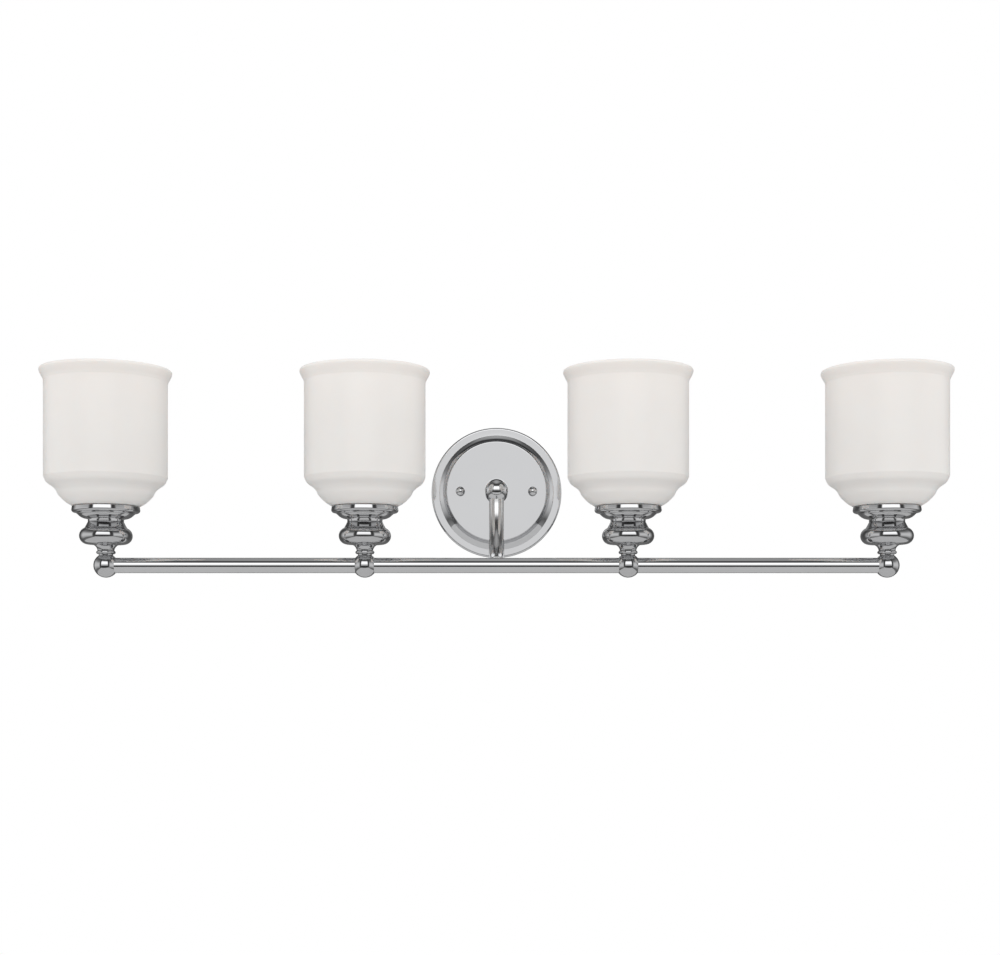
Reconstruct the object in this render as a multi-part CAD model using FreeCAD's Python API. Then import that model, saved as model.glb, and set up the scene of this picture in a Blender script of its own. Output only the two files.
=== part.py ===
import FreeCAD, Part
import math
import os

# Four-lamp vanity light bar. Sizes are millimetres.
# The wall is the plane y = 0 and the room is towards -y, with z up and x along the bar.
# The origin is the middle of the wall plate, on the wall.
# Lamp pieces are drawn about their own axis, with height 0 at the bar's axis.

Vector = FreeCAD.Vector

# Overall layout
inner_spacing = 240.3        # between the two middle lamps
outer_spacing = 236.4        # from a middle lamp to the end lamp beside it
bar_reach = 105.0            # bar axis to the wall
bar_drop = 76.0              # bar axis below the plate's centre

# Wall plate, a spun shell open at the back
plate_radius = 63.5
plate_depth = 19.0
plate_wall = 1.0
rim_depth = 6.0
rim_width = 7.8
rim_round = 1.2
cove_width = 7.2
cove_hollow = 1.3
face_round = 0.6

# Crossbar behind the plate, screwed to the outlet box
strap_length = 106.0
strap_width = 17.0
strap_thickness = 1.8
box_screw_spacing = 88.9
box_slot_length = 9.0
box_slot_width = 4.8
strap_centre_hole = 5.2
stud_spacing = 69.85
stud_radius = 2.1
stud_clearance = 0.4
ground_screw_place = 20.0
ground_screw_head = 3.6
ground_screw_height = 2.4

# Domed cap nuts
cap_nut_radius = 4.5
cap_nut_side = 2.6
cap_nut_grip = 4.6

# Threaded nipples, with a locknut inside the plate
nipple_radius = 4.8
nipple_bore = 3.3
nipple_tail = 7.0
locknut_flats = 14.0
locknut_height = 3.0

# Arm
arm_ball_radius = 11.2
arm_radius = 7.1
arm_wall = 1.2
arm_lead = 9.0
saddle = 4.0
arm_lift = 1.2               # arm's end above the bar's axis, so it stays hidden from below
collar_radius = 7.5
collar_start_angle = 42.0

# Bar
bar_radius = 7.0
bar_wall = 1.2
lamp_ball_radius = 11.15
seat_gap = 0.4               # between a tube's end and the nipple across it

# Turned neck above each ball
neck_radius = 6.4
neck_step = 1.2
bead_radius = 8.6
bead_height = 3.0
neck_waist = 7.5
neck_top_radius = 12.6
neck_height = 10.2

# Vase on the neck
vase_foot_radius = 14.6
vase_belly_radius = 23.7
vase_belly_height = 14.6
vase_crease_radius = 19.2
vase_waist_radius = 16.0
vase_height = 20.5
vase_wall = 2.0

# Cup and round gallery plate under the shade
cup_collar_height = 1.8
cup_round_height = 4.5
cup_ring_radius = 24.9
cup_ring_height = 1.1
cup_step_radius = 25.8
cup_step_height = 2.6
gallery_radius = 30.6
gallery_height = 4.0

# Lamp socket, with its screw shell and contact
socket_radius = 19.7
socket_height = 34.0
socket_base = 7.0
shell_radius = 14.05
shell_wall = 0.4
shell_height = 24.0
contact_radius = 4.0
contact_height = 1.0
socket_grip = 3.0            # nipple above the gallery plate

# Opal glass shade
shade_radius = 55.2
shade_foot_radius = 30.4
shade_waist_radius = 44.2
shade_waist_height = 13.8
shade_shoulder_height = 26.5
shade_height = 124.3
glass_wall = 3.0
lip_radius = 59.2
lip_height = 11.6

# Shade ring, which clamps the shade's floor
ring_wall = 3.0
ring_flange_radius = 26.0
ring_flange_height = 1.6
ring_height = 5.3

# Bulb
bulb_radius = 30.0
bulb_length = 106.0
bulb_wall = 0.8
bulb_cap_radius = 13.2
bulb_cap_height = 24.0
bulb_tip_radius = 5.0
bulb_tip_height = 3.0
bulb_neck_angle = 35.0

# Gaps between pieces that come apart
seat_clearance = 0.2
slide_clearance = 0.3

# Wiring, and the ways drilled for it through the balls
way_radius = 3.0
cross_way_radius = 2.6
bundle_radius = 2.2
riser_radius = 1.6
lead_radius = 0.9
lead_offset = 1.8
lead_bend = 5.0
lead_length = 20.0
supply_lead_angles = [-60.0, 15.0]
ground_lead_angle = 90.0
wire_nut_length = 17.0
wire_nut_mouth = 5.2
wire_nut_end = 3.2
wire_nut_grip = 8.0

# Worked out from the sizes above
lamp_places = [
    -inner_spacing / 2 - outer_spacing,
    -inner_spacing / 2,
    inner_spacing / 2,
    inner_spacing / 2 + outer_spacing,
]
arm_ball_seat = math.sqrt(arm_ball_radius ** 2 - (nipple_radius + seat_gap) ** 2)
arm_ball_reach = plate_depth + arm_ball_seat
arm_run = bar_reach - arm_ball_reach
arm_bend = min(arm_run, bar_drop - arm_lift) - arm_lead
tube_seat = nipple_radius + seat_gap
ball_flat = math.sqrt(lamp_ball_radius ** 2 - neck_radius ** 2)
neck_top = ball_flat + neck_height
vase_top = neck_top + vase_height
cup_ring_base = vase_top + cup_collar_height + cup_round_height
gallery_base = cup_ring_base + cup_ring_height + cup_step_height
gallery_top = gallery_base + gallery_height
shade_base = gallery_top + seat_clearance
shade_floor = shade_base + glass_wall
shell_base = gallery_top + socket_base + contact_height
bulb_base = shell_base + seat_clearance
bulb_neck = bulb_base + bulb_cap_height


class Outline:
    # A closed half section, as radius and height, drawn span by span and turned about the axis.

    def __init__(self, radius, height):
        self.start = Vector(radius, 0, height)
        self.here = self.start
        self.edges = []

    def line(self, radius, height):
        end = Vector(radius, 0, height)
        if end.distanceToPoint(self.here) > 1e-6:
            self.edges.append(Part.LineSegment(self.here, end).toShape())
        self.here = end
        return self

    def arc(self, middle, end):
        middle_point = Vector(middle[0], 0, middle[1])
        end_point = Vector(end[0], 0, end[1])
        self.edges.append(Part.Arc(self.here, middle_point, end_point).toShape())
        self.here = end_point
        return self

    def bulge(self, end, height):
        # An arc to end that stands off its chord, to the left of the way it is drawn.
        end_point = Vector(end[0], 0, end[1])
        way = (end_point - self.here).normalize()
        middle = (self.here + end_point) * 0.5 + Vector(-way.z, 0, way.x) * height
        return self.arc((middle.x, middle.z), end)

    def curve(self, spline):
        self.edges.append(spline.toShape())
        ends = [spline.StartPoint, spline.EndPoint]
        self.here = max(ends, key=lambda point: point.distanceToPoint(self.here))
        return self

    def turned(self):
        self.line(self.start.x, self.start.z)
        face = Part.Face(Part.Wire(Part.__sortEdges__(self.edges)))
        return face.revolve(Vector(0, 0, 0), Vector(0, 0, 1), 360)


def spline_through(points, first_way, last_way):
    vectors = [Vector(radius, 0, height) for radius, height in points]
    spline = Part.BSplineCurve()
    spline.interpolate(
        Points=vectors,
        InitialTangent=Vector(first_way[0], 0, first_way[1]),
        FinalTangent=Vector(last_way[0], 0, last_way[1]),
    )
    return spline


def inside_of(spline, points, wall):
    # The same points, moved in from the spline by the wall's thickness.
    moved = []
    for radius, height in points:
        way = spline.tangent(spline.parameter(Vector(radius, 0, height)))[0]
        moved.append((radius - way.z * wall, height + way.x * wall))
    return moved


def rod(radius, low, high):
    return Part.makeCylinder(radius, high - low, Vector(0, 0, low))


def pipe(outer, inner, low, high):
    return rod(outer, low, high).cut(rod(inner, low, high))


def rod_along_x(radius, low, high):
    return Part.makeCylinder(radius, high - low, Vector(low, 0, 0), Vector(1, 0, 0))


def facing_room(shape):
    # Turns a piece drawn upwards so that its height runs out from the wall.
    return shape.rotated(Vector(0, 0, 0), Vector(1, 0, 0), 90)


def at_bar(shape, place=0.0):
    return shape.translated(Vector(place, -bar_reach, -bar_drop))


def at_pair(shape, spacing):
    sides = [shape.translated(Vector(side * spacing / 2, 0, 0)) for side in (-1, 1)]
    return Part.makeCompound(sides)


# Wall plate and what is behind it

def make_plate():
    rim_inner = plate_radius - rim_width
    face_radius = rim_inner - cove_width
    face_edge = face_radius - face_round
    outline = Outline(nipple_radius + stud_clearance, plate_depth)
    outline.line(face_edge, plate_depth)
    outline.bulge((face_radius, plate_depth - face_round), face_round * 0.2)
    outline.bulge((rim_inner, rim_depth), -cove_hollow)
    outline.line(plate_radius - rim_round, rim_depth)
    outline.bulge((plate_radius, rim_depth - rim_round), rim_round * 0.2)
    outline.line(plate_radius, 0)
    outline.line(plate_radius - plate_wall, 0)
    outline.line(plate_radius - plate_wall, rim_depth - plate_wall)
    outline.line(rim_inner - plate_wall, rim_depth - plate_wall)
    outline.bulge((face_radius - plate_wall, plate_depth - plate_wall), cove_hollow)
    outline.line(nipple_radius + stud_clearance, plate_depth - plate_wall)
    shell = outline.turned()
    stud_hole = rod(stud_radius + stud_clearance, 0, plate_depth + plate_wall)
    for side in (-1, 1):
        shell = shell.cut(stud_hole.translated(Vector(side * stud_spacing / 2, 0, 0)))
    return facing_room(shell)


def make_slot(place):
    half_run = (box_slot_length - box_slot_width) / 2
    ends = [rod(box_slot_width / 2, 0, strap_thickness) for _ in range(2)]
    ends[0].translate(Vector(place - half_run, 0, 0))
    ends[1].translate(Vector(place + half_run, 0, 0))
    corner = Vector(place - half_run, -box_slot_width / 2, 0)
    middle = Part.makeBox(2 * half_run, box_slot_width, strap_thickness, corner)
    return middle.fuse(ends)


def make_strap():
    half_width = strap_width / 2
    middle = Part.makeBox(
        strap_length - strap_width,
        strap_width,
        strap_thickness,
        Vector((strap_width - strap_length) / 2, -half_width, 0),
    )
    ends = at_pair(rod(half_width, 0, strap_thickness), strap_length - strap_width)
    strap = middle.fuse(ends.Solids).removeSplitter()
    strap = strap.cut(rod(strap_centre_hole, 0, strap_thickness))
    strap = strap.cut(rod(stud_radius * 0.8, 0, strap_thickness).translated(Vector(ground_screw_place, 0, 0)))
    for side in (-1, 1):
        strap = strap.cut(make_slot(side * box_screw_spacing / 2))
        strap = strap.cut(rod(stud_radius, 0, strap_thickness).translated(Vector(side * stud_spacing / 2, 0, 0)))
    return facing_room(strap)


def make_ground_screw():
    head = rod(ground_screw_head, strap_thickness, strap_thickness + ground_screw_height)
    slot_depth = ground_screw_height / 3
    slot_width = ground_screw_head / 3
    corner = Vector(-ground_screw_head, -slot_width / 2, strap_thickness + ground_screw_height - slot_depth)
    head = head.cut(Part.makeBox(2 * ground_screw_head, slot_width, slot_depth, corner))
    screw = head.fuse(rod(stud_radius * 0.8, 0, strap_thickness))
    return facing_room(screw.translated(Vector(ground_screw_place, 0, 0)))


def make_studs():
    return facing_room(at_pair(rod(stud_radius, 0, plate_depth + cap_nut_grip), stud_spacing))


def make_cap_nuts():
    dome_base = plate_depth + cap_nut_side
    outline = Outline(0, dome_base + cap_nut_radius)
    outline.arc(
        (cap_nut_radius * math.sin(math.pi / 4), dome_base + cap_nut_radius * math.cos(math.pi / 4)),
        (cap_nut_radius, dome_base),
    )
    outline.line(cap_nut_radius, plate_depth)
    outline.line(stud_radius, plate_depth)
    outline.line(stud_radius, plate_depth + cap_nut_grip)
    outline.line(0, plate_depth + cap_nut_grip)
    return facing_room(at_pair(outline.turned(), stud_spacing))


def make_locknut():
    top = plate_depth - plate_wall
    corner_radius = locknut_flats / 2 / math.cos(math.pi / 6)
    corners = []
    for turn in range(7):
        angle = math.radians(60 * turn)
        corners.append(Vector(corner_radius * math.cos(angle), corner_radius * math.sin(angle), top - locknut_height))
    nut = Part.Face(Part.makePolygon(corners)).extrude(Vector(0, 0, locknut_height))
    return facing_room(nut.cut(rod(nipple_radius, 0, top)))


def make_arm_nipple():
    back = plate_depth - nipple_tail
    front = arm_ball_reach - nipple_bore
    return facing_room(pipe(nipple_radius, nipple_bore, back, front))


# Arm, from its ball on the plate down and out to the back of the bar

def make_arm_ball():
    ball = Part.makeSphere(arm_ball_radius)
    cutter = Part.makeBox(4 * arm_ball_radius, arm_ball_radius, 4 * arm_ball_radius)
    ball = ball.cut(cutter.translated(Vector(-2 * arm_ball_radius, arm_ball_seat, -2 * arm_ball_radius)))
    ball = ball.cut(Part.makeCylinder(nipple_radius, arm_ball_radius, Vector(0, nipple_bore, 0), Vector(0, 1, 0)))
    ball = ball.cut(Part.makeCylinder(cross_way_radius, nipple_bore, Vector(0, 0, 0), Vector(0, 1, 0)))
    ball = ball.cut(rod(way_radius, -tube_seat, way_radius))
    ball = ball.cut(rod(arm_radius, -2 * arm_ball_radius, -tube_seat))
    return ball.translated(Vector(0, -arm_ball_reach, 0))


def arm_edges(start_angle=0.0):
    # The arm's centre line, from start_angle round its bend; at 0 it starts inside the ball.
    bend_centre = Vector(0, -arm_ball_reach - arm_bend, arm_bend + arm_lift - bar_drop)
    angles = [math.radians(start_angle), math.radians((start_angle + 90) / 2), math.radians(90)]
    bend = [bend_centre + Vector(0, math.cos(a) * arm_bend, -math.sin(a) * arm_bend) for a in angles]
    tail = Vector(0, saddle - bar_reach, arm_lift - bar_drop)
    edges = [Part.Arc(*bend).toShape(), Part.LineSegment(bend[2], tail).toShape()]
    if start_angle == 0.0:
        top = Vector(0, -arm_ball_reach, -tube_seat)
        edges.insert(0, Part.LineSegment(top, bend[0]).toShape())
    return edges


def swept(edges, radius):
    path = Part.Wire(edges)
    start = path.OrderedVertexes[0].Point
    way = edges[0].tangentAt(edges[0].FirstParameter)
    section = Part.Wire(Part.makeCircle(radius, start, way))
    tube = path.makePipeShell([section], True, True)
    if tube.Volume < 0:
        tube.reverse()
    return tube


def make_arm():
    bar_space = at_bar(rod_along_x(bar_radius, -2 * arm_radius, 2 * arm_radius))
    arm = swept(arm_edges(), arm_radius).cut(swept(arm_edges(), arm_radius - arm_wall))
    return arm.cut(bar_space)


def make_collar():
    bar_space = at_bar(rod_along_x(bar_radius, -2 * arm_radius, 2 * arm_radius))
    edges = arm_edges(collar_start_angle)
    return swept(edges, collar_radius).cut(swept(edges, arm_radius)).cut(bar_space)


# Bar

def make_bar_tube(low, high):
    return rod_along_x(bar_radius, low, high).cut(rod_along_x(bar_radius - bar_wall, low, high))


def make_bar_centre():
    half = inner_spacing / 2 - tube_seat
    tube = make_bar_tube(-half, half)
    hole_radius = bundle_radius + stud_clearance
    wire_hole = Part.makeCylinder(hole_radius, bar_radius, Vector(0, 0, arm_lift), Vector(0, 1, 0))
    return at_bar(tube.cut(wire_hole))


def make_bar_side(side):
    near = inner_spacing / 2 + tube_seat
    far = inner_spacing / 2 + outer_spacing - tube_seat
    ends = sorted([side * near, side * far])
    return at_bar(make_bar_tube(*ends))


def make_lamp_ball(place):
    reach = 2 * lamp_ball_radius
    ball = Part.makeSphere(lamp_ball_radius)
    cutter = Part.makeBox(2 * reach, 2 * reach, reach, Vector(-reach, -reach, ball_flat))
    ball = ball.cut(cutter)
    ball = ball.cut(rod(nipple_radius, nipple_bore, reach))
    ball = ball.cut(rod(way_radius, -way_radius, nipple_bore))
    for side in (-1, 1):
        if abs(place + side) < max(lamp_places):
            ends = sorted([side * tube_seat, side * reach])
            ball = ball.cut(rod_along_x(bar_radius, *ends))
            ball = ball.cut(rod_along_x(cross_way_radius, *sorted([0, side * tube_seat])))
    return at_bar(ball, place)


# Lamp stack

def make_neck():
    bead_base = ball_flat + neck_step
    bead_top = bead_base + bead_height
    outline = Outline(nipple_radius, ball_flat)
    outline.line(neck_radius, ball_flat)
    outline.line(neck_radius, bead_base)
    outline.bulge((neck_waist, bead_top), -bead_radius + (neck_radius + neck_waist) / 2)
    outline.bulge((neck_top_radius, neck_top), (neck_top_radius - neck_waist) * 0.24)
    outline.line(nipple_radius, neck_top)
    return outline.turned()


def make_vase():
    crease = neck_top + vase_belly_height
    belly_out = vase_belly_radius - (vase_foot_radius + vase_crease_radius) / 2
    waist_in = (vase_crease_radius - vase_waist_radius) * 0.28
    outline = Outline(nipple_radius, neck_top)
    outline.line(vase_foot_radius, neck_top)
    outline.bulge((vase_crease_radius, crease), -belly_out)
    outline.bulge((vase_waist_radius, vase_top), waist_in)
    outline.line(vase_waist_radius - vase_wall, vase_top)
    outline.bulge((vase_crease_radius - vase_wall, crease), -waist_in)
    outline.bulge((vase_foot_radius - vase_wall, neck_top + vase_wall), belly_out)
    outline.line(nipple_radius, neck_top + vase_wall)
    return outline.turned()


def make_cup():
    collar_top = vase_top + cup_collar_height
    ring_top = cup_ring_base + cup_ring_height
    outline = Outline(nipple_radius, vase_top)
    outline.line(vase_waist_radius, vase_top)
    outline.line(vase_waist_radius, collar_top)
    outline.bulge((cup_ring_radius, cup_ring_base), (vase_waist_radius - cup_ring_radius) * 0.13)
    outline.line(cup_ring_radius, ring_top)
    outline.line(cup_step_radius, ring_top)
    outline.bulge((gallery_radius, gallery_base), -cup_step_height * 0.12)
    outline.line(gallery_radius, gallery_top)
    outline.line(nipple_radius, gallery_top)
    return outline.turned()


def make_lamp_nipples():
    nipple = pipe(nipple_radius, nipple_bore, nipple_bore, gallery_top + socket_grip)
    return Part.makeCompound([at_bar(nipple, place) for place in lamp_places])


def make_socket():
    outline = Outline(nipple_radius, gallery_top)
    outline.line(socket_radius, gallery_top)
    outline.line(socket_radius, gallery_top + socket_height)
    outline.line(shell_radius, gallery_top + socket_height)
    outline.line(shell_radius, gallery_top + socket_base)
    outline.line(0, gallery_top + socket_base)
    outline.line(0, gallery_top + socket_grip)
    outline.line(nipple_radius, gallery_top + socket_grip)
    return outline.turned()


def make_screw_shell():
    return pipe(shell_radius, shell_radius - shell_wall, shell_base, shell_base + shell_height)


def make_contacts():
    contact = rod(contact_radius, gallery_top + socket_base, shell_base)
    return Part.makeCompound([at_bar(contact, place) for place in lamp_places])


# Shade, ring and bulb, which lift off

def shade_wall_points():
    rise = shade_waist_height
    grow = shade_waist_radius - shade_foot_radius
    flare = shade_shoulder_height - shade_waist_height
    spread = shade_radius - shade_waist_radius
    return [
        (shade_foot_radius, shade_base),
        (shade_foot_radius + grow * 0.4, shade_base + rise * 0.25),
        (shade_foot_radius + grow * 0.83, shade_base + rise * 0.68),
        (shade_waist_radius, shade_base + rise),
        (shade_waist_radius + spread * 0.28, shade_base + rise + flare * 0.26),
        (shade_waist_radius + spread * 0.76, shade_base + rise + flare * 0.57),
        (shade_radius, shade_base + shade_shoulder_height),
    ]


def make_shade():
    points = shade_wall_points()
    outer = spline_through(points, (1, 0.45), (0, 1))
    inner_points = inside_of(outer, points, glass_wall)
    inner_points[0] = (shade_foot_radius - glass_wall * 0.35, shade_floor)
    inner = spline_through(inner_points, (1, 0.45), (0, 1))
    inner_foot = inner_points[0]
    inner_radius = shade_radius - glass_wall
    rim = shade_base + shade_height
    lip_base = rim - lip_height
    flare = lip_radius - shade_radius
    outline = Outline(socket_radius + 4 * slide_clearance, shade_base)
    outline.line(*points[0])
    outline.curve(outer)
    outline.line(shade_radius, lip_base)
    outline.bulge((lip_radius - flare * 0.16, rim - lip_height * 0.43), -flare * 0.12)
    outline.arc((lip_radius, rim - lip_height * 0.19), (lip_radius - glass_wall / 2, rim))
    outline.arc(
        (lip_radius - glass_wall * 0.9, rim - glass_wall * 0.1),
        (lip_radius - glass_wall * 1.1, rim - glass_wall / 2),
    )
    outline.bulge((inner_radius, lip_base + glass_wall / 2), flare * 0.2)
    outline.line(*inner_points[-1])
    outline.curve(inner)
    outline.line(*inner_foot)
    outline.line(socket_radius + 4 * slide_clearance, shade_floor)
    return outline.turned()


def make_shade_ring():
    base = shade_floor + seat_clearance
    bore = socket_radius + slide_clearance
    flange = pipe(ring_flange_radius, bore, base, base + ring_flange_height)
    collar = pipe(bore + ring_wall, bore, base, base + ring_height)
    return flange.fuse(collar).removeSplitter()


def make_bulb_cap():
    shoulder = bulb_base + 2 * bulb_tip_height
    outline = Outline(0, bulb_base)
    outline.line(bulb_tip_radius, bulb_base)
    outline.line(bulb_tip_radius + 1, bulb_base + bulb_tip_height / 2)
    outline.line(bulb_cap_radius, shoulder)
    outline.line(bulb_cap_radius, bulb_neck)
    outline.line(0, bulb_neck)
    return outline.turned()


def bulb_wall_spans(inset):
    # The lower curve and the round head of the bulb, at inset inside its outer face.
    head = bulb_base + bulb_length - bulb_radius
    angle = math.radians(bulb_neck_angle)
    radius = bulb_radius - inset
    low = (radius * math.cos(angle), head - radius * math.sin(angle))
    neck = (bulb_cap_radius - slide_clearance - inset, bulb_neck)
    side = (math.sin(angle), math.cos(angle))
    lower = spline_through([neck, low], (0, 1), side)
    middle = (radius * math.cos(angle / 2), head + radius * math.sin(angle / 2))
    return lower, middle, (0, head + radius)


def make_bulb_glass():
    lower, middle, top = bulb_wall_spans(0)
    inner_lower, inner_middle, inner_top = bulb_wall_spans(bulb_wall)
    inner_low = inner_lower.EndPoint
    outline = Outline(bulb_cap_radius - slide_clearance, bulb_neck)
    outline.curve(lower)
    outline.arc(middle, top)
    outline.line(*inner_top)
    outline.arc(inner_middle, (inner_low.x, inner_low.z))
    outline.curve(inner_lower)
    return outline.turned()


# Wiring

def make_bar_wiring():
    bundle = rod_along_x(bundle_radius, lamp_places[0], lamp_places[-1])
    for place in lamp_places:
        riser = rod(riser_radius, 0, gallery_top + socket_grip)
        bundle = bundle.fuse(riser.translated(Vector(place, 0, 0)))
    return at_bar(bundle)


def make_arm_wiring():
    back = plate_depth - nipple_tail
    edges = arm_edges()
    level_end = arm_lift - bar_drop
    tail = Part.LineSegment(Vector(0, saddle - bar_reach, level_end), Vector(0, bundle_radius - bar_reach, level_end))
    edges.append(tail.toShape())
    wiring = swept(edges, bundle_radius)
    elbow = Part.makeSphere(bundle_radius, Vector(0, -arm_ball_reach, 0))
    drop = rod(bundle_radius, -tube_seat, 0).translated(Vector(0, -arm_ball_reach, 0))
    level = facing_room(rod(bundle_radius, back, arm_ball_reach))
    return wiring.fuse([drop, elbow, level])


def lead_path(depth, length):
    # Out of the nipple towards the wall, then turned up to run parallel to it.
    mouth = plate_depth - nipple_tail
    turn = depth + lead_bend
    slant = lead_bend * math.sin(math.pi / 4)
    start = Vector(0, -mouth, lead_offset)
    bend_start = Vector(0, -turn, lead_offset)
    bend_middle = Vector(0, -turn + slant, lead_offset + lead_bend - slant)
    bend_end = Vector(0, -depth, lead_offset + lead_bend)
    return [
        Part.LineSegment(start, bend_start).toShape(),
        Part.Arc(bend_start, bend_middle, bend_end).toShape(),
        Part.LineSegment(bend_end, Vector(0, -depth, length)).toShape(),
    ]


def spread(shape, angle):
    return shape.rotated(Vector(0, 0, 0), Vector(0, 1, 0), angle)


def wire_nut_depth():
    return strap_thickness + wire_nut_mouth + seat_gap


def make_leads():
    straight = wire_nut_depth()
    supply = swept(lead_path(straight, lead_length + wire_nut_grip), lead_radius)
    ground_depth = strap_thickness + ground_screw_height + lead_radius
    ground = swept(lead_path(ground_depth, ground_screw_place), lead_radius)
    leads = [spread(supply, angle) for angle in supply_lead_angles]
    return Part.makeCompound(leads + [spread(ground, ground_lead_angle)])


def make_wire_nuts():
    outline = Outline(0, lead_length + wire_nut_length)
    outline.line(wire_nut_end, lead_length + wire_nut_length)
    outline.line(wire_nut_mouth, lead_length + wire_nut_length * 0.25)
    outline.line(wire_nut_mouth, lead_length)
    outline.line(lead_radius, lead_length)
    outline.line(lead_radius, lead_length + wire_nut_grip)
    outline.line(0, lead_length + wire_nut_grip)
    nut = outline.turned().translated(Vector(0, -wire_nut_depth(), 0))
    return Part.makeCompound([spread(nut, angle) for angle in supply_lead_angles])


def make_single_nodes():
    return {
        "wall_strap": make_strap(),
        "ground_screw": make_ground_screw(),
        "canopy_studs": make_studs(),
        "canopy": make_plate(),
        "cap_nuts": make_cap_nuts(),
        "arm_locknut": make_locknut(),
        "arm_nipple": make_arm_nipple(),
        "arm_ball": make_arm_ball(),
        "arm_tube": make_arm(),
        "arm_collar": make_collar(),
        "bar_tube_left": make_bar_side(-1),
        "bar_tube_centre": make_bar_centre(),
        "bar_tube_right": make_bar_side(1),
        "lamp_nipples": make_lamp_nipples(),
        "socket_contacts": make_contacts(),
        "bar_wiring": make_bar_wiring(),
        "arm_wiring": make_arm_wiring(),
        "canopy_leads": make_leads(),
        "wire_nuts": make_wire_nuts(),
    }


def make_lamp_nodes():
    pieces = {
        "lamp_neck": make_neck(),
        "lamp_vase": make_vase(),
        "lamp_cup": make_cup(),
        "socket": make_socket(),
        "screw_shell": make_screw_shell(),
        "shade": make_shade(),
        "shade_ring": make_shade_ring(),
        "bulb_cap": make_bulb_cap(),
        "bulb_glass": make_bulb_glass(),
    }
    nodes = {}
    for number, place in enumerate(lamp_places, start=1):
        nodes[f"lamp_ball_{number}"] = make_lamp_ball(place)
        for name, piece in pieces.items():
            nodes[f"{name}_{number}"] = at_bar(piece, place)
    return nodes


def main():
    os.makedirs("parts", exist_ok=True)
    nodes = make_single_nodes()
    nodes.update(make_lamp_nodes())
    for name, shape in nodes.items():
        if not shape.isValid():
            raise ValueError(f"{name} is not a valid solid")
        shape.exportStep(f"parts/{name}.step")
        print(f"{name}: {len(shape.Solids)} solid(s), {shape.Volume / 1000:.2f} cm3")


main()
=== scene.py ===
import math
import bpy
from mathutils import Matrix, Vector


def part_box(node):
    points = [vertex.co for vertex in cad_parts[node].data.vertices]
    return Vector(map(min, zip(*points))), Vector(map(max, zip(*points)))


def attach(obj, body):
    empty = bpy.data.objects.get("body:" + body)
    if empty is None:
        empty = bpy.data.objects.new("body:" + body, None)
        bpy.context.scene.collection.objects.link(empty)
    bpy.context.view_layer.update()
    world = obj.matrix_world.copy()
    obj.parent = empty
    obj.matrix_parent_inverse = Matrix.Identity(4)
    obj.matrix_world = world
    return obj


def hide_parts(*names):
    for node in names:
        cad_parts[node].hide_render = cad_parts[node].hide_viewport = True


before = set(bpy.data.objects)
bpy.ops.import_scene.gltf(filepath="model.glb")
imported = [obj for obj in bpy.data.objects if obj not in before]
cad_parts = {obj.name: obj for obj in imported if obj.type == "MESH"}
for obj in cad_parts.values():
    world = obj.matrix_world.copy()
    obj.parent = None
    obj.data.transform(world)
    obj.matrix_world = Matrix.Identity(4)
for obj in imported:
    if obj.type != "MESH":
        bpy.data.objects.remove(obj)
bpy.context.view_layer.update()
print("frame loaded")

mm = 0.001
lampNumbers = (1, 2, 3, 4)


def centreOf(node):
    low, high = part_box(node)
    return (low + high) / 2


barAxis = centreOf("bar_tube_centre")
lampSpots = {n: centreOf(f"shade_{n}").x for n in lampNumbers}
firstLamp = Vector((lampSpots[1], barAxis.y, barAxis.z))


def heightsOf(node):
    # lowest and highest point above the bar's axis, in mm
    low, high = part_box(node)
    return (low.z - barAxis.z) / mm, (high.z - barAxis.z) / mm


def radiusOf(node, axis=0):
    # half the node's width along x, y or z (0, 1 or 2), in mm
    low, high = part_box(node)
    return (high[axis] - low[axis]) / 2 / mm


def clearSelection():
    if bpy.context.object and bpy.context.object.mode != "OBJECT":
        bpy.ops.object.mode_set(mode="OBJECT")
    bpy.ops.object.select_all(action="DESELECT")


def pick(piece):
    clearSelection()
    piece.select_set(True)
    bpy.context.view_layer.objects.active = piece


def rename(piece, name):
    piece.name = name
    piece.data.name = name


def arcPoints(centre, radius, fromAngle, toAngle, count):
    # points round an arc in the (radius, height) plane, angles in degrees
    points = []
    for i in range(count + 1):
        angle = math.radians(fromAngle + (toAngle - fromAngle) * i / count)
        points.append((centre[0] + radius * math.cos(angle), centre[1] + radius * math.sin(angle)))
    return points


def bowed(start, end, height, count):
    # points on an arc from start to end that stands off its chord, to the left of the way it runs
    dx, dz = end[0] - start[0], end[1] - start[1]
    chord = math.hypot(dx, dz)
    radius = (chord * chord / 4 + height * height) / (2 * abs(height))
    side = 1 if height > 0 else -1
    midX = (start[0] + end[0]) / 2 + side * dz / chord * (radius - abs(height))
    midZ = (start[1] + end[1]) / 2 - side * dx / chord * (radius - abs(height))
    first = math.atan2(start[1] - midZ, start[0] - midX)
    last = math.atan2(end[1] - midZ, end[0] - midX)
    while last - first > math.pi:
        last -= 2 * math.pi
    while first - last > math.pi:
        last += 2 * math.pi
    return arcPoints((midX, midZ), radius, math.degrees(first), math.degrees(last), count)


def flowing(knots, perSpan):
    # a smooth line through a few knots
    line = []
    for i in range(len(knots) - 1):
        near = (knots[max(i - 1, 0)], knots[i], knots[i + 1], knots[min(i + 2, len(knots) - 1)])
        for step in range(perSpan):
            t = step / perSpan
            weights = (
                -t / 2 + t * t - t ** 3 / 2,
                1 - 2.5 * t * t + 1.5 * t ** 3,
                t / 2 + 2 * t * t - 1.5 * t ** 3,
                -t * t / 2 + t ** 3 / 2,
            )
            line.append(tuple(sum(w * knot[k] for w, knot in zip(weights, near)) for k in (0, 1)))
    line.append(knots[-1])
    return line


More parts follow.
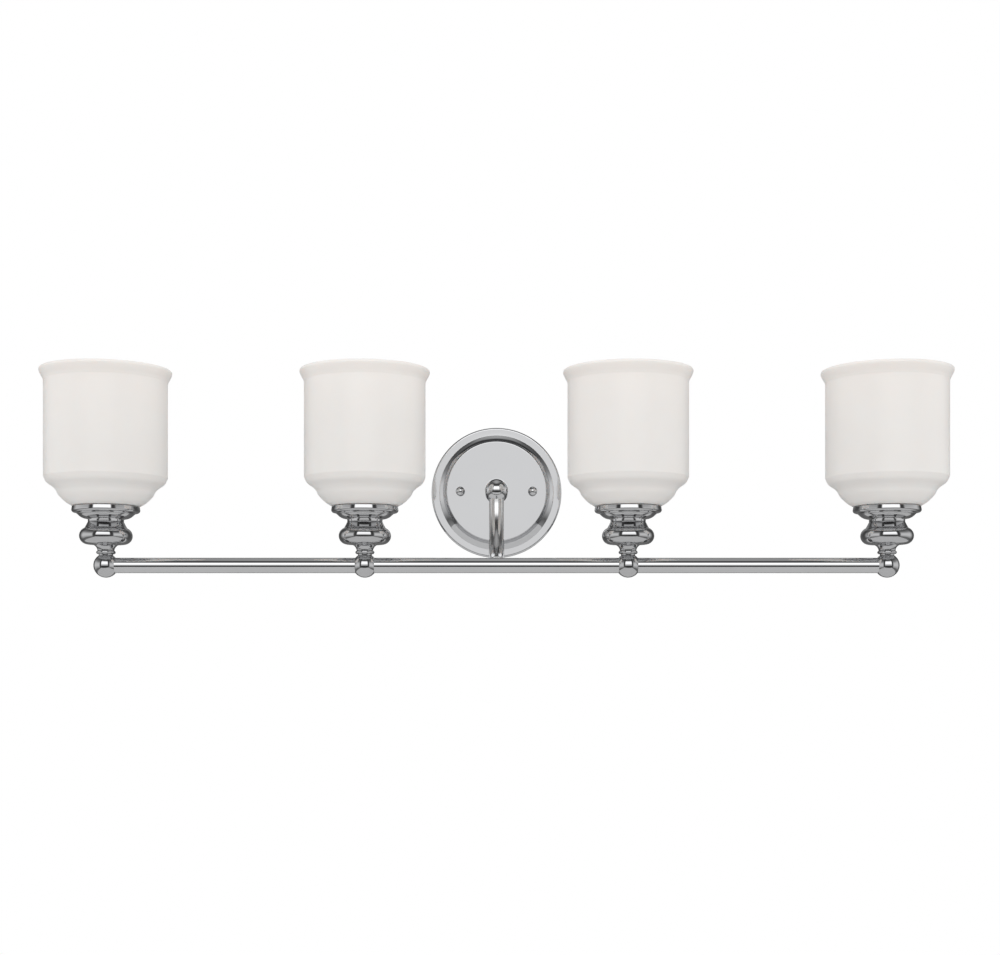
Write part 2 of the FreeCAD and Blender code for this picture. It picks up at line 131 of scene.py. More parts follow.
axes = {
    "up": {"turn": (0, 0, 0), "way": Vector((0, 0, 1))},
    "out": {"turn": (math.pi / 2, 0, 0), "way": Vector((0, -1, 0))},
    "across": {"turn": (0, math.pi / 2, 0), "way": Vector((1, 0, 0))},
}
lathe = {"pole": 0.01, "merge": 0.03, "bevelSegments": 3}  # radius at a closed end, merging distance


def finishEdges(piece, bevel, smooth):
    pick(piece)
    if bevel:
        rounding = piece.modifiers.new("rounded edges", "BEVEL")
        rounding.width = bevel * mm
        rounding.segments = lathe["bevelSegments"]
        rounding.limit_method = "ANGLE"
        rounding.angle_limit = math.radians(smooth)
        bpy.ops.object.modifier_apply(modifier=rounding.name)
    bpy.ops.object.shade_smooth_by_angle(angle=math.radians(smooth))
    flat = piece.modifiers.new("flats stay flat", "WEIGHTED_NORMAL")
    flat.keep_sharp = True
    bpy.ops.object.modifier_apply(modifier=flat.name)


def closeSeams(distance):
    # in edit mode: merge doubles, turn faces outwards, then put the object's place in its mesh
    bpy.ops.mesh.select_all(action="SELECT")
    bpy.ops.mesh.remove_doubles(threshold=distance * mm)
    bpy.ops.mesh.normals_make_consistent(inside=False)
    bpy.ops.object.mode_set(mode="OBJECT")
    bpy.ops.object.transform_apply(location=True, rotation=True, scale=True)


def turnPiece(name, outline, centre, along="up", sides=96, bevel=0.25, smooth=35):
    # lathe work: a circle drawn out and widened ring by ring along the outline (radius, height), in mm
    way = axes[along]["way"]
    radius, height = outline[0]
    clearSelection()
    bpy.ops.mesh.primitive_circle_add(
        vertices=sides,
        radius=max(radius, lathe["pole"]) * mm,
        location=centre + way * height * mm,
        rotation=axes[along]["turn"],
    )
    piece = bpy.context.object
    rename(piece, name)
    bpy.ops.object.mode_set(mode="EDIT")
    bpy.ops.mesh.select_all(action="SELECT")
    for nextRadius, nextHeight in outline[1:]:
        rise = way * (nextHeight - height) * mm
        bpy.ops.mesh.extrude_edges_move(TRANSFORM_OT_translate={"value": rise})
        grow = max(nextRadius, lathe["pole"]) / max(radius, lathe["pole"])
        size = [1 if way[k] else grow for k in range(3)]
        bpy.ops.transform.resize(value=size, center_override=centre + way * nextHeight * mm)
        radius, height = nextRadius, nextHeight
    closeSeams(lathe["merge"])
    finishEdges(piece, bevel, smooth)
    return piece


def copyAlong(piece, shift, name):
    pick(piece)
    bpy.ops.object.duplicate(linked=False)
    copy = bpy.context.object
    rename(copy, name)
    copy.location = shift
    bpy.ops.object.transform_apply(location=True, rotation=False, scale=False)
    return copy


def dress(piece, material):
    piece.data.materials.clear()
    piece.data.materials.append(material)


def place(piece, material, slot, body, *nodes):
    dress(piece, material)
    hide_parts(*nodes)
    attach(piece, body)


def onEveryLamp(piece, stem, material, slot, body, node):
    # the first lamp's piece, then a copy for each of the others
    for n in lampNumbers:
        shift = (lampSpots[n] - lampSpots[1], 0, 0)
        one = piece if n == 1 else copyAlong(piece, shift, f"{stem}_{n}")
        place(one, material, slot, body.format(n=n), node.format(n=n))


def startMaterial(name):
    material = bpy.data.materials.new(name)
    material.use_nodes = True
    tree = material.node_tree
    return material, tree, tree.nodes["Principled BSDF"]


noiseMiddle = (0.3, 0.7)  # noise stays mostly between these, so they stand for its two ends


def addNoise(tree, scale, detail):
    coordinates = tree.nodes.new("ShaderNodeTexCoord")
    noise = tree.nodes.new("ShaderNodeTexNoise")
    noise.inputs["Scale"].default_value = scale
    noise.inputs["Detail"].default_value = detail
    tree.links.new(coordinates.outputs["Object"], noise.inputs["Vector"])
    return noise.outputs["Fac"]


def rangeTo(tree, value, socket, low, high):
    spread = tree.nodes.new("ShaderNodeMapRange")
    spread.inputs["From Min"].default_value = noiseMiddle[0]
    spread.inputs["From Max"].default_value = noiseMiddle[1]
    spread.inputs["To Min"].default_value = low
    spread.inputs["To Max"].default_value = high
    tree.links.new(value, spread.inputs["Value"])
    tree.links.new(spread.outputs["Result"], socket)


def rampTo(tree, value, socket, colours):
    ramp = tree.nodes.new("ShaderNodeValToRGB")
    for stop, position, colour in zip(ramp.color_ramp.elements, noiseMiddle, colours):
        stop.position = position
        stop.color = (*colour, 1)
    tree.links.new(value, ramp.inputs["Fac"])
    tree.links.new(ramp.outputs["Color"], socket)


def bumpTo(tree, value, shader, strength, distance):
    bump = tree.nodes.new("ShaderNodeBump")
    bump.inputs["Strength"].default_value = strength
    bump.inputs["Distance"].default_value = distance
    tree.links.new(value, bump.inputs["Height"])
    tree.links.new(bump.outputs["Normal"], shader.inputs["Normal"])


def layeredFinish(name, colours, roughness, noises, bump, bumpDepth=0.2):
    # colour, roughness and bump each vary with a noise of their own, given as (scale, detail)
    material, tree, shader = startMaterial(name)
    rampTo(tree, addNoise(tree, *noises[0]), shader.inputs["Base Color"], colours)
    rangeTo(tree, addNoise(tree, *noises[1]), shader.inputs["Roughness"], *roughness)
    if bump:
        bumpTo(tree, addNoise(tree, *noises[2]), shader, bump, bumpDepth * mm)
    return material, shader


def metalFinish(name, colours, roughness, grain, bump=0):
    noises = ((grain, 4), (grain * 3, 5), (grain * 8, 2))
    material, shader = layeredFinish(name, colours, roughness, noises, bump)
    shader.inputs["Metallic"].default_value = 1.0
    return material


def plasticFinish(name, colours, roughness, grain, bump):
    noises = ((grain, 3), (grain * 2, 4), (grain * 6, 2))
    return layeredFinish(name, colours, roughness, noises, bump)[0]


def milkyFinish(name, colours, roughness, noises, bump, bumpDepth, weight, reach, scale):
    # light goes into the glass and comes out a little way off
    material, shader = layeredFinish(name, colours, roughness, noises, bump, bumpDepth)
    shader.inputs["Subsurface Weight"].default_value = weight
    shader.inputs["Subsurface Radius"].default_value = reach
    shader.inputs["Subsurface Scale"].default_value = scale
    return material


chrome = metalFinish("polished chrome", ((0.61, 0.612, 0.619), (0.63, 0.633, 0.641)), (0.025, 0.05), 18)
plateChrome = metalFinish("plate chrome", ((0.62, 0.624, 0.634), (0.634, 0.639, 0.65)), (0.035, 0.055), 14)
# a darker copy of the bar's chrome for the lamp stacks: painted shade, so their reflections come out darker
# than the bar's
shadedLampChrome = metalFinish("lamp chrome", ((0.54, 0.542, 0.549), (0.56, 0.563, 0.571)), (0.02, 0.045), 20)
armChrome = metalFinish("arm chrome", ((0.60, 0.60, 0.602), (0.62, 0.62, 0.624)), (0.13, 0.17), 14)
zinc = metalFinish("zinc plate", ((0.55, 0.56, 0.55), (0.66, 0.66, 0.63)), (0.28, 0.42), 60, 0.15)
brass = metalFinish("bright brass", ((0.72, 0.53, 0.24), (0.82, 0.64, 0.34)), (0.16, 0.28), 70, 0.08)
capMetal = metalFinish("rolled cap", ((0.66, 0.66, 0.64), (0.76, 0.76, 0.74)), (0.22, 0.34), 80, 0.1)
ringMetal = metalFinish("turned ring", ((0.74, 0.74, 0.73), (0.82, 0.82, 0.81)), (0.20, 0.30), 80, 0.08)
greenScrew = metalFinish("green screw", ((0.05, 0.27, 0.10), (0.09, 0.36, 0.15)), (0.30, 0.42), 90, 0.1)
opal = milkyFinish(
    "opal glass", ((0.768, 0.742, 0.718), (0.792, 0.766, 0.742)), (0.34, 0.42), ((14, 3), (40, 3), (22, 2)),
    bump=0.05, bumpDepth=0.6, weight=0.5, reach=(0.006, 0.005, 0.0045), scale=1.0,
)
frosted = milkyFinish(
    "frosted bulb", ((0.86, 0.85, 0.82), (0.90, 0.89, 0.87)), (0.22, 0.30), ((30, 3), (60, 3), (700, 2)),
    bump=0.04, bumpDepth=0.1, weight=0.3, reach=(0.005, 0.005, 0.005), scale=0.05,
)
ceramic = plasticFinish("glazed ceramic", ((0.80, 0.79, 0.74), (0.86, 0.85, 0.81)), (0.08, 0.16), 30, 0.03)
wireCoat = plasticFinish("wire coat", ((0.02, 0.02, 0.022), (0.04, 0.04, 0.045)), (0.38, 0.52), 120, 0.1)
nutPlastic = plasticFinish("moulded orange", ((0.72, 0.24, 0.04), (0.82, 0.31, 0.07)), (0.38, 0.50), 90, 0.12)
print("finishes made")


# the outside and inside of the shade run through the same knots, the inside ones moved in by the wall
shade = {
    "footRadius": 30.4,
    "bore": 20.9,
    "boreRound": 0.6,
    "waistRadius": 44.2,
    "waistHeight": 13.8,
    "shoulderHeight": 26.5,
    "wall": 3.0,
    "innerFoot": 0.35,
    "bowl": ((0.4, 0.25), (0.83, 0.68)),  # shares of the way out and up, from foot to waist
    "shoulder": ((0.28, 0.26), (0.76, 0.57)),  # and from waist to the straight body
    "bodyRings": (18, 40, 62),
    "lipSpread": 4.0,
    "lipInside": 10.1,
    # the rolled lip: how far out from the straight body, and how far below the rim
    "lip": (
        (0, 11.6), (0.9, 9.0), (2.2, 6.6), (3.2, 4.6), (4.0, 2.4),
        (3.7, 0.8), (2.5, 0), (1.2, 0.35), (0.6, 1.5), (-1.0, 6.6),
    ),
}


def shadeKnots(radius, base, inset):
    foot, waist, rise = shade["footRadius"], shade["waistRadius"], shade["waistHeight"]
    flare = shade["shoulderHeight"] - rise
    knots = [(foot, base)]
    knots += [(foot + (waist - foot) * out, base + rise * up) for out, up in shade["bowl"]]
    knots.append((waist, base + rise))
    knots += [(waist + (radius - waist) * out, base + rise + flare * up) for out, up in shade["shoulder"]]
    knots.append((radius, base + shade["shoulderHeight"]))
    if not inset:
        return knots
    moved = [(foot - inset * shade["innerFoot"], base + inset)]
    for before, knot, after in zip(knots, knots[1:], knots[2:]):
        dx, dz = after[0] - before[0], after[1] - before[1]
        length = math.hypot(dx, dz)
        moved.append((knot[0] - dz / length * inset, knot[1] + dx / length * inset))
    moved.append((radius - inset, knots[-1][1]))
    return moved


def makeShade():
    base, rim = heightsOf("shade_1")
    radius = radiusOf("shade_1") - shade["lipSpread"]
    wall, bore, easing = shade["wall"], shade["bore"], shade["boreRound"]
    body = [base + shade["shoulderHeight"] + rise for rise in shade["bodyRings"]]
    lipKnots = [(radius + out, rim - down) for out, down in shade["lip"]]
    lipKnots.append((radius - wall, rim - shade["lipInside"]))
    outline = [(bore, base + easing), (bore + easing, base)]
    outline += flowing(shadeKnots(radius, base, 0), 5)
    outline += [(radius, height) for height in body]
    outline += flowing(lipKnots, 4)
    outline += [(radius - wall, height) for height in reversed(body)]
    outline += reversed(flowing(shadeKnots(radius, base, wall), 5))
    outline += [(bore + easing, base + wall), (bore, base + wall - easing), outline[0]]
    return turnPiece("shade_glass_1", outline, firstLamp, sides=128, bevel=0, smooth=60)


onEveryLamp(makeShade(), "shade_glass", opal, "opal_glass", "shade_{n}", "shade_{n}")
print("shades blown")

ball = {"flat": 9.13}  # height of the flat that the neck stands on


def makeBall():
    radius = radiusOf("lamp_ball_2", 1)
    topAngle = math.degrees(math.asin(ball["flat"] / radius))
    outline = arcPoints((0, 0), radius, -90, topAngle, 40)
    outline.append((0, ball["flat"]))
    return turnPiece("ball_1", outline, firstLamp, bevel=0.15)


neck = {
    "stem": 6.4,
    "step": 1.2,
    "bead": 1.35,
    "beadFoot": 0.5,
    "beadHeight": 3.0,
    "waist": 7.5,
    "hollow": 1.25,
    "top": 12.6,
    "corner": 0.2,
    "edge": 0.3,
}


def makeNeck():
    base, top = heightsOf("lamp_neck_1")
    stem, waist, wide = neck["stem"], neck["waist"], neck["top"]
    corner, edge = neck["corner"], neck["edge"]
    bead = base + neck["step"]
    beadTop = bead + neck["beadHeight"]
    outline = [(0, base), (stem, base), (stem, bead - corner)]
    outline += bowed((stem + neck["beadFoot"], bead), (waist + corner, beadTop), -neck["bead"], 16)
    outline += bowed((waist, beadTop + edge), (wide, top - edge), neck["hollow"], 16)
    outline += [(wide + corner, top), (0, top)]
    return turnPiece("neck_1", outline, firstLamp, bevel=0.15)


vase = {
    "foot": 14.6,
    "footEdge": (0.4, 0.1),
    "belly": 23.7,
    "bellyHeight": 14.6,
    "crease": 19.2,
    "creaseEdge": (0.2, 0.25),
    "waist": 16.0,
    "bow": 0.12,
}


def makeVase():
    base, top = heightsOf("lamp_vase_1")
    foot, crease, waist = vase["foot"], vase["crease"], vase["waist"]
    footIn, footUp = vase["footEdge"]
    creaseIn, creaseUp = vase["creaseEdge"]
    creaseHeight = base + vase["bellyHeight"]
    swell = vase["belly"] - (foot + crease) / 2 - footUp
    outline = [(0, base), (foot - footIn, base)]
    outline += bowed((foot, base + footUp), (crease + creaseUp, creaseHeight), -swell, 36)
    outline += bowed((crease - creaseIn, creaseHeight + creaseUp), (waist, top), vase["bow"], 10)
    outline.append((0, top))
    return turnPiece("vase_1", outline, firstLamp, sides=128, bevel=0.15)


cup = {
    "collar": 1.8,
    "collarEdge": 0.1,
    "round": 4.5,
    "bow": 1.0,
    "overhang": 0.8,
    "ring": 24.9,
    "ringHeight": 1.1,
    "ringBow": 0.25,
    "step": 25.9,
    "lip": 5.9,
    "lipRound": 2.4,
    "lean": 0.4,
    "edge": 0.9,
    "grooveDepth": 1.8,
    "grooveHeight": 0.8,
}


def makeCup():
    base, top = heightsOf("lamp_cup_1")
    gallery = radiusOf("lamp_cup_1")
    waist, ring, step = vase["waist"], cup["ring"], cup["step"]
    corner, deep, lipRound, edge = cup["collarEdge"], cup["grooveDepth"], cup["lipRound"], cup["edge"]
    collarTop = base + cup["collar"]
    grooveTop = collarTop + cup["grooveHeight"]
    ringBase = collarTop + cup["round"]
    ringTop = ringBase + cup["ringHeight"]
    lipBase = top - cup["lip"]
    outline = [(0, base), (waist, base + corner / 2), (waist + corner, collarTop)]
    outline += [(waist - deep, collarTop + corner), (waist - deep, grooveTop)]
    outline += bowed((waist + cup["overhang"], grooveTop), (ring, ringBase), -cup["bow"], 22)
    outline += bowed((ring + corner, ringBase + corner * 2), (step, ringTop), -cup["ringBow"], 8)
    outline += [(step - deep, ringTop), (step - deep, lipBase)]
    outline += arcPoints((gallery - lipRound, lipBase + lipRound), lipRound, -88, 4, 14)
    outline += arcPoints((gallery - cup["lean"] - edge, top - edge), edge, 10, 90, 8)
    outline.append((0, top))
    return turnPiece("cup_1", outline, firstLamp, sides=128, bevel=0)


# the lamp stacks take the darker copy of the chrome, which is painted shade
onEveryLamp(makeBall(), "ball", shadedLampChrome, "chrome", "fixture", "lamp_ball_{n}")
onEveryLamp(makeNeck(), "neck", shadedLampChrome, "chrome", "fixture", "lamp_neck_{n}")
onEveryLamp(makeVase(), "vase", shadedLampChrome, "chrome", "fixture", "lamp_vase_{n}")
onEveryLamp(makeCup(), "cup", shadedLampChrome, "chrome", "fixture", "lamp_cup_{n}")
print("lamp stacks turned")

bar = {"wall": 1.2, "rings": 8}


def makeTube(name, node):
    low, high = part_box(node)
    radius = radiusOf(node, 1)
    inside = radius - bar["wall"]
    length = (high.x - low.x) / mm
    outline = [(inside, 0)]
    outline += [(radius, length * step / bar["rings"]) for step in range(bar["rings"] + 1)]
    outline += [(inside, length), (inside, 0)]
    piece = turnPiece(name, outline, Vector((low.x, barAxis.y, barAxis.z)), along="across", bevel=0.15)
    place(piece, chrome, "chrome", "fixture", node)


makeTube("bar_left", "bar_tube_left")
makeTube("bar_centre", "bar_tube_centre")
makeTube("bar_right", "bar_tube_right")
print("bar drawn")

plate = {
    "rim": 6.0,
    "rimWidth": 7.5,
    "rimRound": 1.7,
    "rimSide": 2.4,
    "coveWidth": 7.5,
    "coveHollow": 1.3,
    "coveEdge": 0.3,
    "faceRound": 0.6,
    "faceBow": 0.15,
    "edge": 0.1,
    "wall": 1.0,
    "hole": 5.2,
}


def makePlate():
    radius = radiusOf("canopy")
    depth = -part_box("canopy")[0].y / mm
    rim, wall, hole, edge = plate["rim"], plate["wall"], plate["hole"], plate["edge"]
    rimRound, faceRound = plate["rimRound"], plate["faceRound"]
    rimInner = radius - plate["rimWidth"]
    face = rimInner - plate["coveWidth"]
    faceSide = depth - faceRound
    coveTop = (face + edge / 2, faceSide - edge * 2)
    coveFoot = (rimInner - plate["coveEdge"], rim + edge)
    innerFoot = (rimInner - wall, rim - wall)
    outline = [(hole, depth), (face / 2, depth), (face - faceRound - edge * 2, depth)]
    outline += bowed((face - faceRound, depth), (face, faceSide), plate["faceBow"], 4)[1:]
    outline += bowed(coveTop, coveFoot, -plate["coveHollow"], 16)
    outline += [(rimInner, rim), (radius - rimRound - edge, rim)]
    outline += arcPoints((radius - rimRound, rim - rimRound), rimRound, 80, 0, 8)
    outline += [(radius, plate["rimSide"]), (radius, 0), (radius - wall, 0), (radius - wall, rim - wall)]
    outline.append(innerFoot)
    outline += bowed(innerFoot, (face - wall, depth - wall), plate["coveHollow"], 10)[1:]
    outline += [(hole, depth - wall), (hole, depth)]
    return turnPiece("wall_plate", outline, Vector(), along="out", sides=160, bevel=0.1, smooth=30)


def makeCapNuts():
    low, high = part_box("cap_nuts")
    radius = radiusOf("cap_nuts", 2)
    base, tip = -high.y / mm, -low.y / mm
    spot = high.x - radius * mm
    outline = [(0, base), (radius, base), (radius, tip - radius)]
    outline += arcPoints((0, tip - radius), radius, 0, 90, 18)[1:]
    right = turnPiece("cap_nut_right", outline, Vector((spot, 0, 0)), along="out", sides=48, bevel=0.15)
    left = copyAlong(right, (-2 * spot, 0, 0), "cap_nut_left")
    for nut in (right, left):
        place(nut, chrome, "chrome", "fixture", "cap_nuts")


place(makePlate(), plateChrome, "plate_chrome", "fixture", "canopy")
makeCapNuts()

arm = {
    "ballSeat": 10.0,  # flat on the ball, from its centre
    "tubeSeat": 5.2,  # tube's start, from the ball's centre
    "lead": 9.0,
    "lift": 1.2,
    "saddle": 4.0,
    "wall": 1.2,
    "sleeveStart": 42.0,
    "steps": 40,
    "sides": 64,
    "merge": 0.02,
    "bevel": 0.3,
}
armRadius = radiusOf("arm_tube")
sleeveRadius = radiusOf("arm_collar")
ballRadius = radiusOf("arm_ball")
armBallCentre = Vector((0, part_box("arm_ball")[0].y + ballRadius * mm, 0))


def makeArmBall():
    angle = math.degrees(math.acos(-arm["ballSeat"] / ballRadius)) - 90
    outline = [(0, -arm["ballSeat"])] + arcPoints((0, 0), ballRadius, -angle, 90, 40)
    return turnPiece("arm_ball_turned", outline, armBallCentre, along="out", bevel=0.1)


def bendTube(name, radius, wall, startAngle, firstRun):
    # a circle swept round the arm's bend, then drawn straight to the bar
    endHeight = barAxis.z + arm["lift"] * mm
    bend = min(armBallCentre.y - barAxis.y, -endHeight) - arm["lead"] * mm
    centre = Vector((0, armBallCentre.y - bend, bend + endHeight))
    angle = math.radians(startAngle)
    start = centre + Vector((0, math.cos(angle), -math.sin(angle))) * bend
    lastRun = centre.y - (barAxis.y + arm["saddle"] * mm)
    clearSelection()
    bpy.ops.mesh.primitive_circle_add(
        vertices=arm["sides"], radius=radius * mm, location=start, rotation=(-angle, 0, 0)
    )
    piece = bpy.context.object
    rename(piece, name)
    bpy.ops.object.mode_set(mode="EDIT")
    bpy.ops.mesh.select_all(action="SELECT")
    if firstRun:
        bpy.ops.transform.translate(value=(0, 0, firstRun * mm))
        bpy.ops.mesh.extrude_edges_move(TRANSFORM_OT_translate={"value": (0, 0, -firstRun * mm)})
    bpy.ops.mesh.spin(steps=arm["steps"], angle=math.pi / 2 - angle, center=centre, axis=(1, 0, 0))
    bpy.ops.mesh.extrude_edges_move(TRANSFORM_OT_translate={"value": (0, -lastRun, 0)})
    closeSeams(arm["merge"])
    shell = piece.modifiers.new("wall", "SOLIDIFY")
    shell.thickness = wall * mm
    shell.offset = -1
    shell.use_even_offset = True
    pick(piece)
    bpy.ops.object.modifier_apply(modifier=shell.name)
    finishEdges(piece, arm["bevel"], 35)
    return piece


place(makeArmBall(), chrome, "chrome", "fixture", "arm_ball")
armTube = bendTube("arm", armRadius, arm["wall"], 0, arm["lead"] - arm["tubeSeat"])
place(armTube, armChrome, "chrome", "fixture", "arm_tube")
sleeve = bendTube("arm_sleeve", sleeveRadius, sleeveRadius - armRadius, arm["sleeveStart"], 0)
place(sleeve, armChrome, "chrome", "fixture", "arm_collar")
print("plate and arm fitted")

ring = {"bore": 20.0, "outside": 23.0, "flange": 26.0, "flangeHeight": 1.6}


def makeRing():
    base, top = heightsOf("shade_ring_1")
    bore, outside, flange = ring["bore"], ring["outside"], ring["flange"]
    step = base + ring["flangeHeight"]
    outline = [(bore, base), (flange, base), (flange, step), (outside, step)]
    outline += [(outside, top), (bore, top), (bore, base)]
    return turnPiece("ring_1", outline, firstLamp, bevel=0.3)


socket = {
    "hole": 4.8,
    "mouth": 14.05,
    "outside": 19.7,
    "floor": 7.0,
    "grooves": (13.0, 31.0),
    "grooveStep": 2.2,
    "grooveDepth": 0.4,
    "grooveHeight": 1.0,
}


def makeSocket():
    base, top = heightsOf("socket_1")
    hole, mouth, outside = socket["hole"], socket["mouth"], socket["outside"]
    floor = base + socket["floor"]
    groove, last = socket["grooves"]
    outline = [(hole, base), (outside, base)]
    while groove < last:
        middle = base + groove + socket["grooveHeight"] / 2
        outline += [(outside, base + groove), (outside - socket["grooveDepth"], middle)]
        outline.append((outside, base + groove + socket["grooveHeight"]))
        groove += socket["grooveStep"]
    outline += [(outside, top), (mouth, top), (mouth, floor), (hole, floor), (hole, base)]
    return turnPiece("socket_body_1", outline, firstLamp, bevel=0.4)


bulb = {
    "head": 30.0,
    "stem": ((12.9, 0), (13.0, 4.0), (14.6, 11.0), (19.3, 22.0)),
    "meeting": (24.6, 17.2),  # where the stem meets the head: radius, and how far below its centre
    "meetingAngle": -35,
}


def makeBulbGlass():
    base, top = heightsOf("bulb_glass_1")
    head = top - bulb["head"]
    knots = [(radius, base + height) for radius, height in bulb["stem"]]
    knots.append((bulb["meeting"][0], head - bulb["meeting"][1]))
    outline = [(0, base)] + flowing(knots, 6)
    outline += arcPoints((0, head), bulb["head"], bulb["meetingAngle"], 90, 36)[1:]
    return turnPiece("bulb_1", outline, firstLamp, bevel=0, smooth=60)


bulbCap = {
    "tip": ((0, 0), (4.6, 0), (5.6, 1.5), (9.5, 4.4), (12.2, 5.6)),
    "thread": ((12.4, 0), (13.1, 0.9), (13.1, 1.5), (12.4, 2.4)),
    "firstTurn": 6.4,
    "pitch": 3.3,
    "plainTop": 5.0,
    "collar": ((12.9, 2.6), (13.1, 1.0), (12.9, 0), (0, 0)),  # radius, and how far below the top
}


def makeBulbCap():
    base, top = heightsOf("bulb_cap_1")
    outline = [(radius, base + height) for radius, height in bulbCap["tip"]]
    turn = base + bulbCap["firstTurn"]
    while turn < top - bulbCap["plainTop"]:
        outline += [(radius, turn + height) for radius, height in bulbCap["thread"]]
        turn += bulbCap["pitch"]
    outline += [(radius, top - below) for radius, below in bulbCap["collar"]]
    return turnPiece("bulb_screw_1", outline, firstLamp, bevel=0, smooth=40)


onEveryLamp(makeRing(), "ring", ringMetal, "ring_metal", "shade_ring_{n}", "shade_ring_{n}")
onEveryLamp(makeSocket(), "socket_body", ceramic, "porcelain", "fixture", "socket_{n}")
onEveryLamp(makeBulbGlass(), "bulb", frosted, "bulb_glass", "bulb_{n}", "bulb_glass_{n}")
onEveryLamp(makeBulbCap(), "bulb_screw", capMetal, "bulb_cap_metal", "bulb_{n}", "bulb_cap_{n}")
print("sockets and bulbs fitted")

# the frame's own nodes that keep their shape
kept = (
    (zinc, ("wall_strap", "canopy_studs", "arm_nipple", "lamp_nipples")),
    (brass, ("arm_locknut", "socket_contacts", *(f"screw_shell_{n}" for n in lampNumbers))),
    (wireCoat, ("bar_wiring", "arm_wiring", "canopy_leads")),
    (greenScrew, ("ground_screw",)),
    (nutPlastic, ("wire_nuts",)),
)
for material, nodes in kept:
    for node in nodes:
        dress(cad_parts[node], material)
print("hidden parts finished")

studio = {
    "floorSize": 5.2,
    "floorMiddle": -0.8,
    "floorDrop": 1.6,
    "floorColours": ((0.60, 0.60, 0.60), (0.63, 0.63, 0.63)),
    "floorRoughness": 0.7,
    "boxDistance": 2.2,
    "boxHeight": 0.7,
    "boxSize": 1.6,
    "boxPower": 2.4,
    "roomGlow": 1.12,
    "brightest": 1.8,
}

# what polished metal sees round it: for each stretch of bearing from straight ahead (0) to behind
# (180), grey levels by elevation; a stretch fades in between its two bearings
surroundings = (
    (0, 0, (
        (-90, 0.50), (-28, 0.50), (-25, 0.06), (-6, 0.06), (-3, 0.50), (1, 0.95), (9, 0.97),
        (12, 1.8), (31, 1.8), (38, 0.42), (44, 0.08), (62, 0.08), (70, 0.44), (90, 0.50),
    )),
    (29, 33, (
        (-90, 0.50), (-34, 0.42), (-24, 0.10), (50, 0.06), (64, 0.14), (74, 0.38), (90, 0.50),
    )),
    (43, 50, (
        (-90, 0.50), (-40, 0.44), (-24, 0.14), (-14, 0.55), (0, 0.88), (14, 0.80), (28, 0.30),
        (44, 0.10), (64, 0.14), (74, 0.38), (90, 0.50),
    )),
    (104, 128, (
        (-90, 0.50), (-60, 0.46), (-40, 0.34), (-22, 0.12), (30, 0.08), (56, 0.20), (74, 0.38), (90, 0.50),
    )),
    (144, 166, (
        (-90, 0.50), (-62, 0.42), (-44, 0.28), (-25, 0.16), (5, 0.16), (20, 0.30), (60, 0.40), (90, 0.50),
    )),
)


def makeFloor():
    clearSelection()
    middle = (0, studio["floorMiddle"], barAxis.z - studio["floorDrop"])
    bpy.ops.mesh.primitive_plane_add(size=studio["floorSize"], location=middle)
    floor = bpy.context.object
    floor.name = "floor"
    material, tree, shader = startMaterial("pale floor")
    shader.inputs["Roughness"].default_value = studio["floorRoughness"]
    rampTo(tree, addNoise(tree, 3, 2), shader.inputs["Base Color"], studio["floorColours"])
    dress(floor, material)


def makeSoftbox():
    middle = Vector((0, barAxis.y - studio["boxDistance"], barAxis.z + studio["boxHeight"]))
    tilt = math.pi / 2 - math.atan2(studio["boxHeight"], studio["boxDistance"])
    clearSelection()
    bpy.ops.object.light_add(type="AREA", location=middle, rotation=(tilt, 0, 0))
    lamp = bpy.context.object
    lamp.name = "softbox"
    lamp.data.shape = "SQUARE"
    lamp.data.size = studio["boxSize"]
    lamp.data.energy = studio["boxPower"]
    lamp.visible_camera = False
    lamp.visible_glossy = False


def addMath(tree, operation, *values):
    node = tree.nodes.new("ShaderNodeMath")
    node.operation = operation
    for end, value in zip(node.inputs, values):
        if isinstance(value, float):
            end.default_value = value
        else:
            tree.links.new(value, end)
    return node.outputs["Value"]


def addBands(tree, height, bands):
    ramp = tree.nodes.new("ShaderNodeValToRGB")
    tree.links.new(height, ramp.inputs["Fac"])
    stops = ramp.color_ramp.elements
    stops.remove(stops[-1])
    for i, (angle, grey) in enumerate(bands):
        position = (math.sin(math.radians(angle)) + 1) / 2
        stop = stops[0] if i == 0 else stops.new(position)
        stop.position = position
        level = grey / studio["brightest"]
        stop.color = (level, level, level, 1)
    return ramp.outputs["Color"]


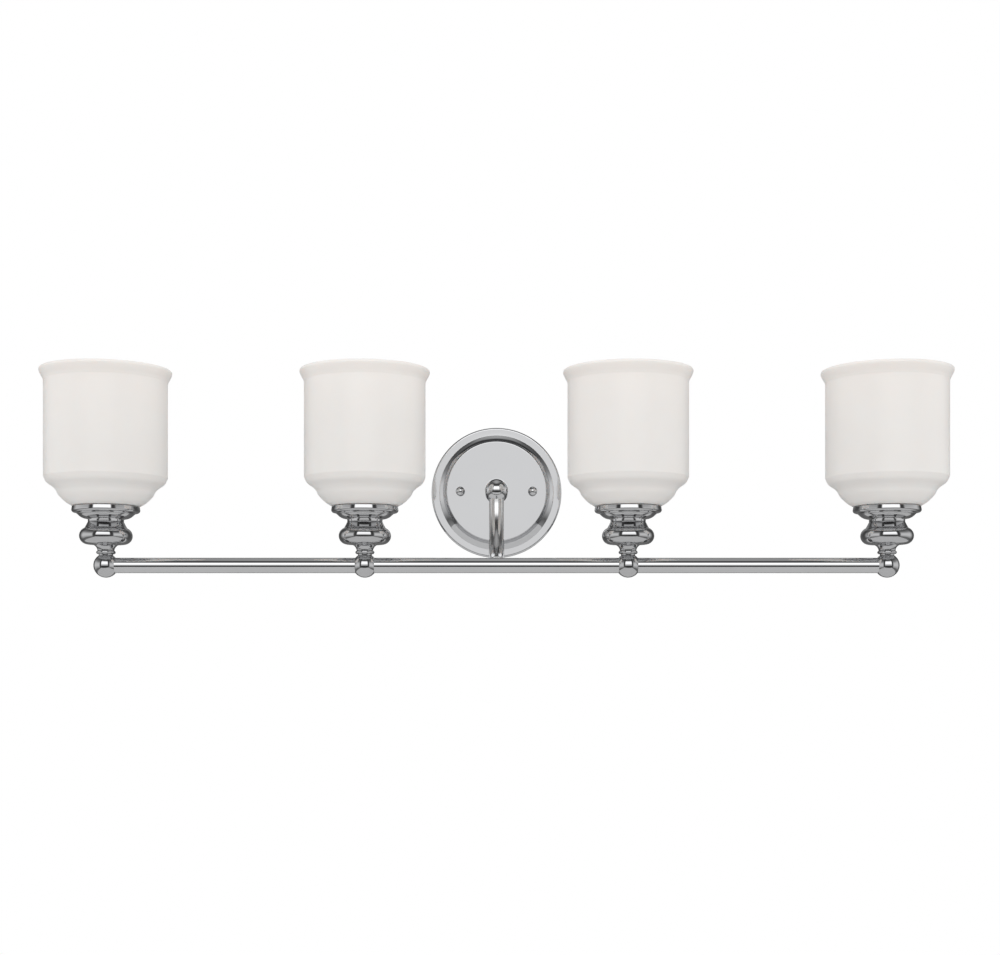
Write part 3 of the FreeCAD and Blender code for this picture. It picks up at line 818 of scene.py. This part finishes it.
def addSurroundings(tree):
    # height and bearing of the way a ray goes, then the bands mixed from one bearing to the next
    coordinates = tree.nodes.new("ShaderNodeTexCoord")
    split = tree.nodes.new("ShaderNodeSeparateXYZ")
    tree.links.new(coordinates.outputs["Generated"], split.inputs["Vector"])
    height = addMath(tree, "MULTIPLY_ADD", split.outputs["Z"], 0.5, 0.5)
    ahead = addMath(tree, "MULTIPLY", split.outputs["Y"], -1.0)
    bearing = addMath(tree, "ABSOLUTE", addMath(tree, "ARCTAN2", split.outputs["X"], ahead))
    colour = addBands(tree, height, surroundings[0][2])
    for start, end, bands in surroundings[1:]:
        fade = tree.nodes.new("ShaderNodeMapRange")
        fade.inputs["From Min"].default_value = math.radians(start)
        fade.inputs["From Max"].default_value = math.radians(end)
        tree.links.new(bearing, fade.inputs["Value"])
        mix = tree.nodes.new("ShaderNodeMixRGB")
        tree.links.new(fade.outputs["Result"], mix.inputs["Fac"])
        tree.links.new(colour, mix.inputs["Color1"])
        tree.links.new(addBands(tree, height, bands), mix.inputs["Color2"])
        colour = mix.outputs["Color"]
    return colour


def makeWorld():
    world = bpy.data.worlds.new("studio")
    bpy.context.scene.world = world
    world.use_nodes = True
    world.cycles.sampling_method = "NONE"
    tree = world.node_tree
    room = tree.nodes["Background"]
    room.inputs["Strength"].default_value = studio["brightest"]
    tree.links.new(addSurroundings(tree), room.inputs["Color"])
    # plain white behind the object, and an even glow that lights everything dull
    path = tree.nodes.new("ShaderNodeLightPath")
    layers = ((path.outputs["Is Diffuse Ray"], studio["roomGlow"]), (path.outputs["Is Camera Ray"], 1.0))
    shader = room.outputs["Background"]
    for seenBy, level in layers:
        glow = tree.nodes.new("ShaderNodeBackground")
        glow.inputs["Color"].default_value = (level, level, level, 1)
        mix = tree.nodes.new("ShaderNodeMixShader")
        tree.links.new(seenBy, mix.inputs["Fac"])
        tree.links.new(shader, mix.inputs[1])
        tree.links.new(glow.outputs["Background"], mix.inputs[2])
        shader = mix.outputs["Shader"]
    tree.links.new(shader, tree.nodes["World Output"].inputs["Surface"])


camera = {
    "distance": 1.510,
    "height": -0.145,
    "lens": 55.4,
    "sensor": 36.0,
    "shiftX": 0.0035,
    "shiftY": 0.1635,
}


def makeCamera():
    clearSelection()
    spot = (0, -camera["distance"], camera["height"])
    bpy.ops.object.camera_add(location=spot, rotation=(math.pi / 2, 0, 0))
    eye = bpy.context.object
    eye.name = "camera"
    eye.data.sensor_width = camera["sensor"]
    eye.data.lens = camera["lens"]
    eye.data.shift_x = camera["shiftX"]
    eye.data.shift_y = camera["shiftY"]
    bpy.context.scene.camera = eye


makeFloor()
makeSoftbox()
makeWorld()
makeCamera()
bpy.context.scene.view_settings.view_transform = "Standard"
clearSelection()
print("studio set")
